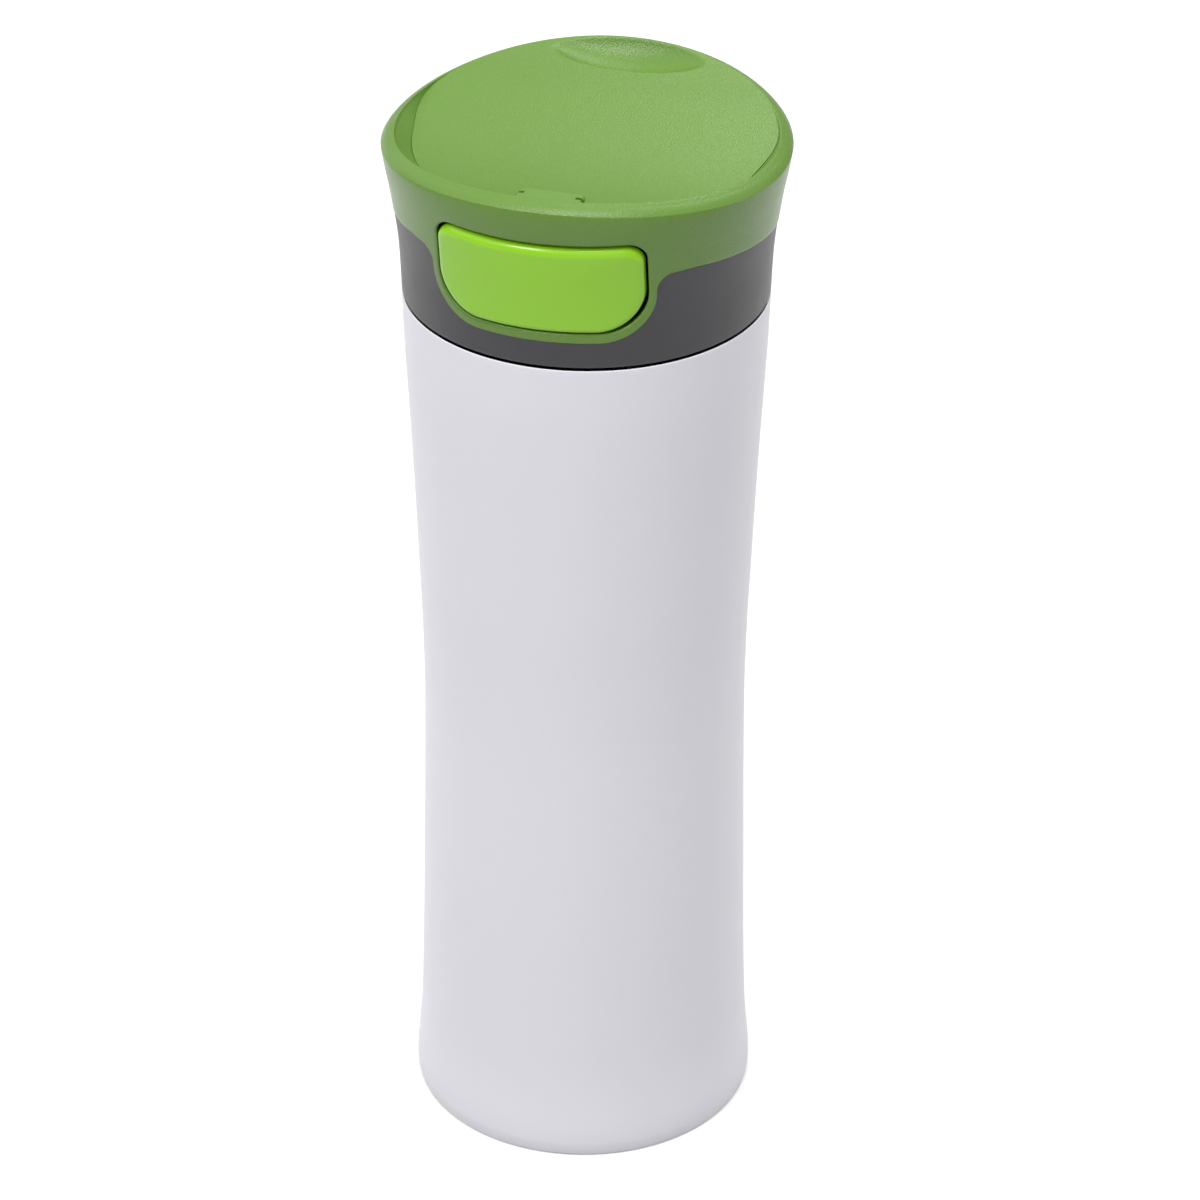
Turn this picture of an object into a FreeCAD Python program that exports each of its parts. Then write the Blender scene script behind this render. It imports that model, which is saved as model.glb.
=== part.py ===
"""Insulated travel mug: a double-walled steel body and a screw-on lid with a push-button drink valve.

Frame: +Z up, millimetres, origin at the centre of the foot. The button faces -Y and the drinking side is +Y.
"""

import FreeCAD
import Part
import math
import os

V = FreeCAD.Vector
UP = V(0, 0, 1)
TINY, NEAR = 1e-6, 0.05  # distances that count as none, and as lying on a surface
OVER = 1.0  # how far a cutting volume runs past the face that it cuts
REACH = 60.0  # half width of cutting volumes that pass right through the lid
ROOF = 240.0  # height above everything

# ---- body -------------------------------------------------------------------------------------------------
SHELL_T = 0.6  # outer steel wall
LINER_T = 0.5  # inner steel wall
FOOT_EDGE, FOOT_FLANGE = (36.5, 0.15), 1.6  # lower edge of the outer shell, and the flange turned in from it
FOOT_BULGE = (36.83, 1.35)  # a point on the rounded edge above it
BODY_R, BODY_Z = 36.95, 3.2  # widest point just above the foot
BODY_CURVE = [(36.95, 3.2), (35.55, 27.0), (34.15, 102.0), (35.6, 148.0), (37.65, 192.7)]
FOOT_RING = (26.5, 31.5, 2.1)  # inner and outer radius and height of the foot ring
SHOULDER_Z = 193.9
LINER_R = 31.0  # inside radius of the vessel and of its mouth
LINER_FLOOR = 8.5
NECK_R = 33.9  # root of the thread on the neck
LIP_Z = 202.0  # top of the mouth

# ---- screw thread, three starts ---------------------------------------------------------------------------
LEAD = 9.0
STARTS = 3
RIB_H = 1.2
RIB_ROOT_W, RIB_CREST_W = 1.1, 0.7
RIB_BITE = 0.2
THREAD_GAP = 0.3  # from each crest to the other part's root
NECK_THREAD = (195.8, 200.9)
COLLAR_THREAD = (195.6, 199.9)
COLLAR_IN = NECK_R + RIB_H + THREAD_GAP

# ---- lid --------------------------------------------------------------------------------------------------
LID_Z = 194.5  # lower edge of the collar
LID_CURVE = [(37.75, 194.5), (38.05, 204.0), (39.0, 212.5), (40.15, 220.0), (41.55, 227.5)]
LID_R = 41.55
SKIRT_IN, SKIRT_OUT = 33.8, 35.7  # the lid shell's inner skirt
SKIRT_Z = 204.2
LEDGE_R, LEDGE_LOW = 34.3, 201.4  # the collar's ledge that holds the valve housing's flange
FLANGE_R, FLANGE_Z = 35.6, 202.6
BEAD_Z, BEAD_HALF, BEAD_H = 208.0, 0.7, 0.35  # snap bead between the collar and the skirt
COLLAR_TOP = 212.1  # height of the collar's upper edge at the sides
COLLAR_SLOPE = 3.9 / 38.0  # and its fall from the button side to the drinking side
PLATE_T = 2.0
SADDLE_Z, SADDLE_R, SADDLE_Y = 228.35, 215.0, -1.5  # the rim lies on a cylinder along X
RIM_BEVEL, RIM_CREST = 2.3, 0.5
SCOOP_LOW = (-12.0, 225.0)  # lowest line of the scooped top, as y, z
SCOOP_R = 96.0
SCOOP_END, FLAT_Y = 12.0, 23.0  # where the scoop ends, and where the flat at the drinking side begins
SCOOP_SPAN = 45.0  # the scoop's outline runs this far each way, past the rim
BOWL_R, BOWL_FLARE, BOWL_Z = 38.6, 1.0, 214.0  # inside edge of the rim, its wall's flare, and its bottom
COVER_GAP = 0.15
PLATE_BITE = 0.5  # how far pieces under the cover reach up into its plate
DISH_Y, DISH_HALF_X, DISH_HALF_Y, DISH_DEEP = 31.8, 15.8, 6.0, 3.5
TAB_HALF, TAB_BACK, TAB_H = 6.5, -24.5, 0.5  # the snap tab inside the rim on the button's side
NOTCH_IN, NOTCH_OUT, NOTCH_BACK = 5.5, 7.2, -26.0  # slots at the tab's ends
COVER_LOW, COVER_HIGH = 222.0, 232.0  # heights that take in the whole cover
LEG_ANGLES = (-100.0, -35.0, 35.0, 100.0)  # snap legs of the cover, measured from the drinking side
LEG_HALF, LEG_T, LEG_Z, HOOK, HOOK_H, LEG_GAP = 3.0, 1.7, 216.0, 0.9, 1.8, 0.3

# ---- button and its window --------------------------------------------------------------------------------
WINDOW_HALF, WINDOW_LOW, WINDOW_HIGH = 21.3, 202.3, 222.6
WINDOW_R_TOP, WINDOW_R_LOW = 3.6, 9.0
BUTTON_GAP = 0.6
BUTTON_PROUD, BUTTON_T, BUTTON_ROUND = 0.5, 2.4, 0.9
BEZEL_SIDE, BEZEL_LOW, BEZEL_R = 1.5, 2.0, 4.0
BEZEL_Y = 27.0  # the bezel's shoulders meet the parting plane at this distance from the axis
SHOULDER_W = 8.0  # and run this far out to the sides
TRAVEL = 4.5
SOCKET_T, SOCKET_DEEP = 1.3, 3.2  # the cap's socket for the rod
GUIDE_X, GUIDE_Z, POST_R, SLEEVE_R, SLEEVE_GAP = 13.0, 207.5, 1.5, 2.7, 0.08
POST_Y, SLEEVE_Y = -29.2, -27.8  # tip of each post and open end of each sleeve

# ---- valve ------------------------------------------------------------------------------------------------
CUP_R, CUP_T, CUP_Z = 29.9, 3.0, 196.5  # the part of the housing that plugs the mouth
UPPER_R, UPPER_T = 27.5, 2.0  # the part of the housing above the mouth
FRONT_Y = -23.0  # its flat front wall
CEILING = 212.4
GASKET_Z, GASKET_H, GASKET_IN, GASKET_OUT, GASKET_GAP = 198.0, 2.6, 28.6, 30.7, 0.3
ROD_Z, ROD_R, ROD_GAP, ROD_END = 210.2, 2.0, 0.05, -36.3
BOSS_R, BOSS_END = 5.0, -18.2  # the housing's boss round the rod
ROOT = 0.5  # how far the lugs and posts are rooted in the housing's walls
ORING_Y, ORING_R, ORING_WIRE = -20.5, 3.0, 0.65
BLADE_HALF = 1.1
BLADE = [(-17.0, 212.0), (1.0, 212.0), (1.0, 207.9), (-5.0, 205.4), (-9.4, 205.4), (-9.4, 208.6),
         (-17.0, 208.6)]
PIVOT_Y, PIVOT_Z, PIN_R, PIN_GAP = -12.0, 205.5, 1.25, 0.05
LUG_IN, LUG_OUT, LUG_HALF = 4.0, 6.5, 2.6
SWING = 11.5  # degrees the lever turns for the full travel
FOLLOWER_Y, FOLLOWER_Z, FOLLOWER_R, FOLLOWER_GAP = -3.0, 209.6, 1.5, 0.1
CHEEK_IN, CHEEK_OUT, HUB_R, EYE_R = 1.5, 3.5, 2.6, 2.3
CHEEK = [(-12.0, 202.9), (7.6, 205.2), (7.6, 208.0), (-0.8, 208.9), (-3.95, 211.69), (-13.08, 207.87)]
ARM_HALF, ARM_Y, ARM_Z = 5.0, (7.5, 15.0), (205.2, 208.0)
PAD_HALF, PAD_Y = 7.6, (14.0, 22.9)
VENT_Y, VENT_R, VENT_STOPPER_R = 10.0, 0.8, 2.0
STOPPER_GAP = 0.3
PORT_Y, PORT_R, PORT_HALF = 18.5, 2.6, 4.0  # drink passage: a slot with round ends, as half sizes
STOPPER_OVER, STOPPER_EDGE = 1.6, 0.8  # how far the stopper reaches past the port, and its rounded edge
TUBE_LEAN, TUBE_T = 0.58, 1.3  # the passage leans this much towards the lip
SEAL_Z, SEAL_T = 223.6, 1.4
SPRING_R, SPRING_WIRE, SPRING_TURNS, SPRING_SIDES = 4.4, 0.4, 7, 10
SPRING_Y = (-36.0, -23.5)

# ---- helpers ----------------------------------------------------------------------------------------------
def point(r, z):
    return V(r, 0, z)


def outline(*steps):
    """A closed wire in the XZ plane from corners (r, z) and curves, each curve a list of points."""
    runs = [[point(*p) for p in (step if isinstance(step, list) else [step])] for step in steps]
    edges = []
    for run, following in zip(runs, runs[1:] + runs[:1]):
        if len(run) == 3:
            edges.append(Part.Arc(*run).toShape())
        elif len(run) > 3:
            curve = Part.BSplineCurve()
            curve.interpolate(run)
            edges.append(curve.toShape())
        if run[-1].distanceToPoint(following[0]) > TINY:
            edges.append(Part.LineSegment(run[-1], following[0]).toShape())
    return Part.Wire(edges)


def revolved(*steps):
    return Part.Face(outline(*steps)).revolve(V(0, 0, 0), UP, 360)


def shifted(curve, dr):
    return [(r + dr, z) for r, z in curve]


def fuse(first, *others):
    return first.multiFuse(list(others)).removeSplitter()


def tube(r_out, r_in, z0, z1):
    return Part.makeCylinder(r_out, z1 - z0, V(0, 0, z0)).cut(Part.makeCylinder(r_in, z1 - z0, V(0, 0, z0)))


def block(x0, x1, y0, y1, z0, z1):
    return Part.makeBox(x1 - x0, y1 - y0, z1 - z0, V(x0, y0, z0))


def along_x(r, x0, x1, y, z):
    return Part.makeCylinder(r, x1 - x0, V(x0, y, z), V(1, 0, 0))


def along_y(r, y0, y1, x, z):
    return Part.makeCylinder(r, y1 - y0, V(x, y0, z), V(0, 1, 0))


def quarter(r0, z0, r1, z1, bulge_r, bulge_z):
    """An arc as three points: a corner rounded towards (bulge_r, bulge_z)."""
    k = 1 - math.sqrt(0.5)
    mid = (bulge_r + ((r0 + r1) / 2 - bulge_r) * 2 * k, bulge_z + ((z0 + z1) / 2 - bulge_z) * 2 * k)
    return [(r0, z0), mid, (r1, z1)]


def thread_ribs(root, height, z0, z1, phase_z):
    """The helical ribs of a thread. height is positive outwards."""
    bite = -math.copysign(RIB_BITE, height)
    ribs = []
    for i in range(STARTS):
        helix = Part.makeHelix(LEAD, z1 - z0 - RIB_ROOT_W, root)
        w0, w1 = RIB_ROOT_W / 2, RIB_CREST_W / 2
        corners = [(root + bite, -w0), (root + bite, w0), (root + height, w1), (root + height, -w1)]
        profile = Part.makePolygon([point(*c) for c in corners + corners[:1]])
        rib = Part.Wire(helix.Edges).makePipeShell([profile], True, True)
        start = z0 + RIB_ROOT_W / 2
        turn = 360.0 * (start - phase_z) / LEAD + 360.0 * i / STARTS
        rib.translate(V(0, 0, start))
        rib.rotate(V(0, 0, 0), UP, turn)
        ribs.append(rib)
    return ribs


# ---- body parts -------------------------------------------------------------------------------------------
def outer_shell():
    r_edge, z_edge = FOOT_EDGE
    r_top, z_top = BODY_CURVE[-1]
    inside = shifted(BODY_CURVE, -SHELL_T)
    neck_in = NECK_R - SHELL_T
    t = SHELL_T
    round_r = SHOULDER_Z - z_top
    flange_in = r_edge - FOOT_FLANGE
    shell = revolved(
        (flange_in, z_edge),
        [(r_edge, z_edge), FOOT_BULGE, (BODY_R, BODY_Z)],
        BODY_CURVE,
        quarter(r_top, z_top, r_top - round_r, SHOULDER_Z, r_top, SHOULDER_Z),
        (NECK_R, SHOULDER_Z),
        (NECK_R, LIP_Z - t),
        (neck_in, LIP_Z - t),
        (neck_in, SHOULDER_Z - t),
        quarter(r_top - round_r, SHOULDER_Z - t, r_top - t, z_top - t, r_top - t, SHOULDER_Z - t),
        inside[::-1],
        (r_edge - t, z_edge + t),
        (flange_in, z_edge + t),
    )
    return fuse(shell, *thread_ribs(NECK_R, RIB_H, *NECK_THREAD, 0.0))


def inner_liner():
    r, t, floor, corner = LINER_R, LINER_T, LINER_FLOOR, 9.0
    lip = 0.6
    return revolved(
        (0, floor - t),
        quarter(r - corner, floor - t, r + t, floor + corner, r + t, floor - t),
        (r + t, LIP_Z - lip),
        quarter(NECK_R, LIP_Z - lip, NECK_R - lip, LIP_Z, NECK_R, LIP_Z),
        quarter(r + lip, LIP_Z, r, LIP_Z - lip, r, LIP_Z),
        quarter(r, floor + corner, r - corner, floor, r, floor),
        (0, floor),
    )


def vacuum_base():
    """The welded bottom of the outer wall, with a raised centre and the hole the air was drawn out of."""
    r, z, t, rise = BODY_R - SHELL_T - NEAR, 3.1, SHELL_T, 1.0
    return revolved((8, z), (r, z), (r, z + t), (7.6, z + t), (6.4, z + t + rise), (1.2, z + t + rise),
                    (1.2, z + rise), (6.8, z + rise))


def vacuum_seal():
    """The solder plug in that hole."""
    z = 4.1
    return revolved((0, z - 0.8), (2.6, z - 0.8), (3.2, z), (1.2, z), (1.2, z + SHELL_T), (0, z + SHELL_T))


def getter():
    """The ring under the liner that takes up stray gas."""
    z, height = LINER_FLOOR - LINER_T, 1.8
    return revolved((2.0, z - height), (6.0, z - height), (6.0, z), (2.0, z))


def base_cap():
    """The plastic plate under the body, stepped at its edge, with the foot ring's groove."""
    r0, r1, high = FOOT_RING
    low, top, step_r, step_z, edge_r = 0.8, 3.05, 34.5, 1.05, 35.7
    return revolved((0, low), (r0, low), (r0, high), (r1, high), (r1, low), (step_r, low), (step_r, step_z),
                    (edge_r, step_z), (edge_r, top), (0, top))


def foot_ring():
    r0, r1, high = FOOT_RING
    edge = 0.5
    return revolved((r0 + edge, 0), (r1 - edge, 0), (r1, edge), (r1, high), (r0, high), (r0, edge))


# ---- lid: shared volumes ----------------------------------------------------------------------------------
def saddle_z(y):
    return SADDLE_Z + (y - SADDLE_Y) ** 2 / (2 * SADDLE_R)


def above_saddle():
    return along_x(SADDLE_R, -REACH, REACH, SADDLE_Y, SADDLE_Z + SADDLE_R)


def scoop_edges(drop):
    """The scooped top in the YZ plane, lowered by drop: a hollow arc, then a turn into the rim's saddle."""
    y_low, z_low = SCOOP_LOW

    def hollow(y):
        return V(0, y, z_low + (y - y_low) ** 2 / (2 * SCOOP_R) - drop)

    def rim(y):
        return V(0, y, saddle_z(y) - drop)

    first = Part.Arc(hollow(-SCOOP_SPAN), hollow((SCOOP_END - SCOOP_SPAN) / 2), hollow(SCOOP_END)).toShape()
    turn = Part.BSplineCurve()
    turn.interpolate(Points=[hollow(SCOOP_END), rim(FLAT_Y)],
                     InitialTangent=V(0, 1, (SCOOP_END - y_low) / SCOOP_R),
                     FinalTangent=V(0, 1, (FLAT_Y - SADDLE_Y) / SADDLE_R))
    last = Part.Arc(rim(FLAT_Y), rim((FLAT_Y + SCOOP_SPAN) / 2), rim(SCOOP_SPAN)).toShape()
    return [first, turn.toShape(), last]


def above_scoop(drop=0.0):
    """Everything above the scooped top, lowered by drop."""
    edges = scoop_edges(drop)
    low, high = edges[0].Vertexes[0].Point, edges[-1].Vertexes[-1].Point
    walls = [V(high), V(0, high.y, ROOF), V(0, low.y, ROOF), V(low)]
    sides = [Part.LineSegment(a, b).toShape() for a, b in zip(walls, walls[1:])]
    face = Part.Face(Part.Wire(edges + sides))
    face.translate(V(-REACH, 0, 0))
    return face.extrude(V(2 * REACH, 0, 0))


def cone_on_saddle(r, flare, z0, z1):
    """A cone between two heights, widening by flare, that meets the saddle at radius r all round."""
    front, back, side = saddle_z(-r), saddle_z(r), saddle_z(SADDLE_Y)
    rings = []
    for z in (z0, z1):
        across = r + flare * (z - side)
        along = r + flare * (z - (front + back) / 2)
        centre = V(0, flare * (front - back) / 2, z)
        if across > along:
            ring = Part.Ellipse(centre, across, along)
        else:
            ring = Part.Ellipse(centre + V(0, along, 0), centre + V(-across, 0, 0), centre)
        rings.append(Part.Wire(ring.toShape()))
    return Part.makeLoft(rings, True, True)


def bowl(gap=0.0):
    """The flared space inside the rim."""
    return cone_on_saddle(BOWL_R - gap, BOWL_FLARE, BOWL_Z, ROOF)


def below_collar_top():
    """A slab whose top is the tilted parting plane between the collar and the lid shell."""
    low = LID_Z - OVER
    front, back = COLLAR_TOP + COLLAR_SLOPE * REACH, COLLAR_TOP - COLLAR_SLOPE * REACH
    return plate_yz([(-REACH, low), (REACH, low), (REACH, back), (-REACH, front)], -REACH, REACH)


def rounded_window(grow):
    """The button's outline in the XZ plane, grown by a margin and run from the axis out past the wall."""
    x = WINDOW_HALF + grow
    z0, z1 = WINDOW_LOW - grow, WINDOW_HIGH + grow
    a, b = WINDOW_R_LOW + grow, WINDOW_R_TOP + grow
    wire = outline(
        (-x + a, z0),
        quarter(x - a, z0, x, z0 + a, x, z0),
        quarter(x, z1 - b, x - b, z1, x, z1),
        quarter(-x + b, z1, -x, z1 - b, -x, z1),
        quarter(-x, z0 + a, -x + a, z0, -x, z0),
    )
    return Part.Face(wire).extrude(V(0, -REACH, 0))


def bezel_zone():
    """Where the lid shell comes down through the collar round the button, with its flared shoulders."""
    x, z0, a = WINDOW_HALF + BEZEL_SIDE, WINDOW_LOW - BEZEL_LOW, WINDOW_R_LOW + BEZEL_SIDE
    top = COLLAR_TOP + COLLAR_SLOPE * BEZEL_Y
    f, far = BEZEL_R, x + BEZEL_R + SHOULDER_W
    wire = outline(
        (-x + a, z0),
        quarter(x - a, z0, x, z0 + a, x, z0),
        quarter(x, top - f, x + f, top, x, top),
        (far, top),
        (far, ROOF),
        (-far, ROOF),
        (-far, top),
        quarter(-x - f, top, -x, top - f, -x, top),
        quarter(-x, z0 + a, -x + a, z0, -x, z0),
    )
    return Part.Face(wire).extrude(V(0, -REACH, 0))


def collar_zone():
    """The ring outside the lid's skirt that belongs to the collar."""
    wall = revolved((SKIRT_OUT, LID_Z - OVER), shifted(LID_CURVE, OVER), (SKIRT_OUT, LID_CURVE[-1][1]))
    return wall.common(below_collar_top()).cut(bezel_zone())


def dish(grow=0.0):
    """The drinking recess: a lens-shaped hollow turned about an axis along X, grown by a wall."""
    round_y = (DISH_HALF_Y ** 2 + DISH_DEEP ** 2) / (2 * DISH_DEEP)
    round_x = (DISH_HALF_X ** 2 + DISH_DEEP ** 2) / (2 * DISH_DEEP)
    axis_z = saddle_z(DISH_Y) - DISH_DEEP + round_y
    reach = math.sqrt((round_x + grow) ** 2 - (round_x - round_y) ** 2)
    left, right = V(-reach, DISH_Y, axis_z), V(reach, DISH_Y, axis_z)
    arc = Part.Arc(left, V(0, DISH_Y, axis_z - round_y - grow), right).toShape()
    lens = Part.Face(Part.Wire([arc, Part.LineSegment(right, left).toShape()]))
    return lens.revolve(left, V(1, 0, 0), 360)


def passage(grow, z0, z1):
    """The leaning slot-shaped drink passage between two heights, grown by a wall."""
    r, half = PORT_R + grow, PORT_HALF
    y0 = PORT_Y + TUBE_LEAN * (z0 - CEILING)
    ends = [V(half, y0 - r, z0), V(half + r, y0, z0), V(half, y0 + r, z0)]
    back = [V(-half, y0 + r, z0), V(-half - r, y0, z0), V(-half, y0 - r, z0)]
    wire = Part.Wire([
        Part.Arc(*ends).toShape(),
        Part.LineSegment(ends[2], back[0]).toShape(),
        Part.Arc(*back).toShape(),
        Part.LineSegment(back[2], ends[0]).toShape(),
    ])
    return Part.Face(wire).extrude(V(0, TUBE_LEAN * (z1 - z0), z1 - z0))


def snap_bead():
    """The ridge on the skirt that the collar snaps over."""
    root = SKIRT_OUT - BEAD_H
    return revolved((root, BEAD_Z - BEAD_HALF), (SKIRT_OUT, BEAD_Z - BEAD_HALF), (SKIRT_OUT + BEAD_H, BEAD_Z),
                    (SKIRT_OUT, BEAD_Z + BEAD_HALF), (root, BEAD_Z + BEAD_HALF))


def turned_about_z(shape, angle):
    shape.rotate(V(0, 0, 0), UP, angle)
    return shape


def plate_yz(points, x0, x1):
    """A flat plate with its outline in the YZ plane."""
    corners = [V(x0, y, z) for y, z in points]
    return Part.Face(Part.makePolygon(corners + corners[:1])).extrude(V(x1 - x0, 0, 0))


# ---- lid parts --------------------------------------------------------------------------------------------
def inner_rim_edges(shape):
    """The edges where the rim's top, on the saddle, meets the wall inside it."""
    middle = (BOWL_R + LID_R) / 2
    found = []
    for e in shape.Edges:
        p = e.valueAt((e.FirstParameter + e.LastParameter) / 2)
        on_saddle = abs(p.z - saddle_z(p.y)) < NEAR
        if on_saddle and math.hypot(p.x, p.y) < middle:
            found.append(e)
    return found


def lid_shell():
    wall = revolved((SKIRT_OUT, LID_Z), LID_CURVE, (LID_R, ROOF), (SKIRT_IN, ROOF),
                    (SKIRT_IN, SKIRT_Z), (SKIRT_OUT, SKIRT_Z))
    wall = wall.cut(above_saddle()).cut(bowl())
    bevelled = cone_on_saddle(LID_R - RIM_BEVEL, -1.0, LID_Z - OVER, ROOF)
    wall = wall.common(bevelled)
    wall = wall.makeFillet(RIM_CREST, inner_rim_edges(wall)).cut(dish())
    wall = fuse(wall.cut(collar_zone()), snap_bead().cut(bezel_zone()))
    half = LEG_HALF + LEG_GAP
    for angle in LEG_ANGLES:
        pocket = block(-half, half, SKIRT_IN - OVER, SKIRT_IN + HOOK + LEG_GAP,
                       LEG_Z - LEG_GAP, LEG_Z + HOOK_H + LEG_GAP)
        wall = wall.cut(turned_about_z(pocket, angle))
    return wall.cut(rounded_window(0.0))


def lid_collar():
    lead_in = 0.8
    ring = revolved(
        (COLLAR_IN + lead_in, LID_Z),
        LID_CURVE,
        (SKIRT_OUT, LID_CURVE[-1][1]),
        (SKIRT_OUT, FLANGE_Z),
        (LEDGE_R, FLANGE_Z),
        (LEDGE_R, LEDGE_LOW),
        (COLLAR_IN, LEDGE_LOW),
        (COLLAR_IN, LID_Z + lead_in),
    )
    ring = ring.common(below_collar_top()).cut(bezel_zone()).cut(snap_bead())
    return fuse(ring, *thread_ribs(COLLAR_IN, -RIB_H, *COLLAR_THREAD, LEAD / STARTS / 2))


def top_cover():
    """The scooped plate with the drinking recess, the spout's mouth, the snap tab and four hooked legs."""
    inside = bowl(COVER_GAP)
    under_plate = above_scoop(PLATE_BITE)
    plate = inside.common(above_scoop(PLATE_T)).cut(above_scoop())
    tab = inside.common(block(-TAB_HALF, TAB_HALF, -LID_R, TAB_BACK, COVER_LOW, COVER_HIGH))
    tab = tab.common(under_plate).cut(above_scoop(-TAB_H))
    below = dish(PLATE_T).fuse(passage(TUBE_T, SEAL_Z + SEAL_T, COVER_HIGH)).cut(under_plate).common(inside)
    hollow = dish().fuse(passage(0.0, SEAL_Z, COVER_HIGH))
    cover = plate.fuse(tab).cut(hollow).fuse(below.cut(hollow))
    for x in (-NOTCH_OUT, NOTCH_IN):
        slot = block(x, x + NOTCH_OUT - NOTCH_IN, -LID_R, NOTCH_BACK, COVER_LOW, COVER_HIGH)
        cover = cover.cut(slot)
    for angle in LEG_ANGLES:
        out = SKIRT_IN - LEG_GAP
        leg = block(-LEG_HALF, LEG_HALF, out - LEG_T, out, LEG_Z, COVER_HIGH)
        hook = block(-LEG_HALF, LEG_HALF, out - LEG_T, SKIRT_IN + HOOK, LEG_Z, LEG_Z + HOOK_H)
        cover = cover.fuse(turned_about_z(leg.fuse(hook), angle).cut(under_plate))
    return cover


def spout_seal():
    z = SEAL_Z + SEAL_T
    return passage(TUBE_T, SEAL_Z, z).cut(passage(0.0, SEAL_Z, z))


def button_sweep():
    """The space the button's cap needs over its travel, behind the window."""
    clear = LID_CURVE[1][0] - BUTTON_T - BUTTON_GAP
    kept = Part.makeCylinder(clear, ROOF - LID_Z, V(0, TRAVEL + BUTTON_PROUD, LID_Z))
    return rounded_window(BUTTON_GAP).cut(kept)


def valve_housing():
    """The plug in the mouth, the valve's chamber above it, and the posts, lugs, boss and spout on it."""
    roof = CEILING + PLATE_T
    cup_in, upper_in = CUP_R - CUP_T, UPPER_R - UPPER_T
    cup = tube(CUP_R, cup_in, CUP_Z, FLANGE_Z)
    g = GASKET_GAP
    groove = tube(CUP_R + OVER, GASKET_IN - g, GASKET_Z - g, GASKET_Z + GASKET_H + g)
    deck = Part.makeCylinder(FLANGE_R, SKIRT_Z - FLANGE_Z, V(0, 0, FLANGE_Z)).cut(button_sweep())
    upper = Part.makeCylinder(UPPER_R, roof - FLANGE_Z, V(0, 0, FLANGE_Z))
    upper = upper.cut(block(-REACH, REACH, -REACH, FRONT_Y, FLANGE_Z, roof))
    chamber = Part.makeCylinder(upper_in, CEILING - FLANGE_Z + OVER, V(0, 0, FLANGE_Z - OVER))
    chamber = chamber.cut(block(-REACH, REACH, -REACH, FRONT_Y + UPPER_T, FLANGE_Z - OVER, roof))
    rod_boss = along_y(BOSS_R, FRONT_Y, BOSS_END, 0, ROD_Z)
    housing = fuse(deck, upper).cut(chamber)
    lugs = []
    posts = []
    for side in (-1, 1):
        x0, x1 = sorted((side * LUG_IN, side * LUG_OUT))
        lugs.append(block(x0, x1, PIVOT_Y - LUG_HALF, PIVOT_Y + LUG_HALF, PIVOT_Z - LUG_HALF, CEILING + ROOT))
        posts.append(along_y(POST_R, POST_Y, FRONT_Y + ROOT, side * GUIDE_X, GUIDE_Z))
    spout = passage(TUBE_T, CEILING, SEAL_Z)
    housing = fuse(housing, cup.cut(groove), rod_boss, spout, *lugs, *posts)
    housing = housing.cut(along_x(PIN_R, -LUG_OUT, LUG_OUT, PIVOT_Y, PIVOT_Z))
    housing = housing.cut(along_y(ROD_R + ROD_GAP, FRONT_Y - OVER, BOSS_END + OVER, 0, ROD_Z))
    seat = ORING_R + ORING_WIRE
    housing = housing.cut(along_y(seat, ORING_Y - ORING_WIRE, ORING_Y + ORING_WIRE, 0, ROD_Z))
    housing = housing.cut(Part.makeCylinder(VENT_R, PLATE_T + 2 * OVER, V(0, VENT_Y, CEILING - OVER)))
    return housing.cut(passage(0.0, CEILING - OVER, SEAL_Z))


def lid_gasket():
    z, h, r0, r1, lip = GASKET_Z, GASKET_H, GASKET_IN, GASKET_OUT, 0.4
    return revolved((r0, z), (r1 - lip, z), (r1, z + lip), (r1, z + 2 * lip), (r1 - 2 * lip, z + h / 2),
                    (r1, z + h - 2 * lip), (r1, z + h - lip), (r1 - lip, z + h), (r0, z + h))


def rod_seal():
    return Part.makeTorus(ORING_R, ORING_WIRE, V(0, ORING_Y, ROD_Z), V(0, 1, 0))


def lever_pin():
    return along_x(PIN_R, -LUG_OUT, LUG_OUT, PIVOT_Y, PIVOT_Z)


# ---- button parts -----------------------------------------------------------------------------------------
def button_cap():
    outside = shifted(LID_CURVE, BUTTON_PROUD)
    inside = shifted(LID_CURVE, BUTTON_PROUD - BUTTON_T)
    cap = revolved(outside, inside[::-1]).common(rounded_window(-BUTTON_GAP))
    rim = []
    for e in cap.Edges:
        p = e.valueAt((e.FirstParameter + e.LastParameter) / 2)
        if math.hypot(p.x, p.y) > radius_at(p.z) + BUTTON_PROUD - BUTTON_T / 8:
            rim.append(e)
    cap = cap.makeFillet(BUTTON_ROUND, rim)
    back = radius_at(ROD_Z) + BUTTON_PROUD - BUTTON_T
    socket = along_y(ROD_R + SOCKET_T, -back - OVER, -back + SOCKET_DEEP, 0, ROD_Z)
    start = -math.sqrt(back ** 2 - GUIDE_X ** 2) - OVER
    sleeves = [along_y(SLEEVE_R, start, SLEEVE_Y, x, GUIDE_Z) for x in (-GUIDE_X, GUIDE_X)]
    cap = fuse(cap, socket, *sleeves)
    deep = POST_Y - TRAVEL - BUTTON_GAP / 2
    for x in (-GUIDE_X, GUIDE_X):
        cap = cap.cut(along_y(POST_R + SLEEVE_GAP, deep, SLEEVE_Y + OVER, x, GUIDE_Z))
    return cap.cut(along_y(ROD_R, ROD_END, 0, 0, ROD_Z))


def radius_at(z):
    """The lid's outside radius at a height, along straight lines between the curve's points."""
    for (r0, z0), (r1, z1) in zip(LID_CURVE, LID_CURVE[1:]):
        if z <= z1:
            return r0 + (r1 - r0) * (z - z0) / (z1 - z0)
    return LID_CURVE[-1][0]


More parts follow.
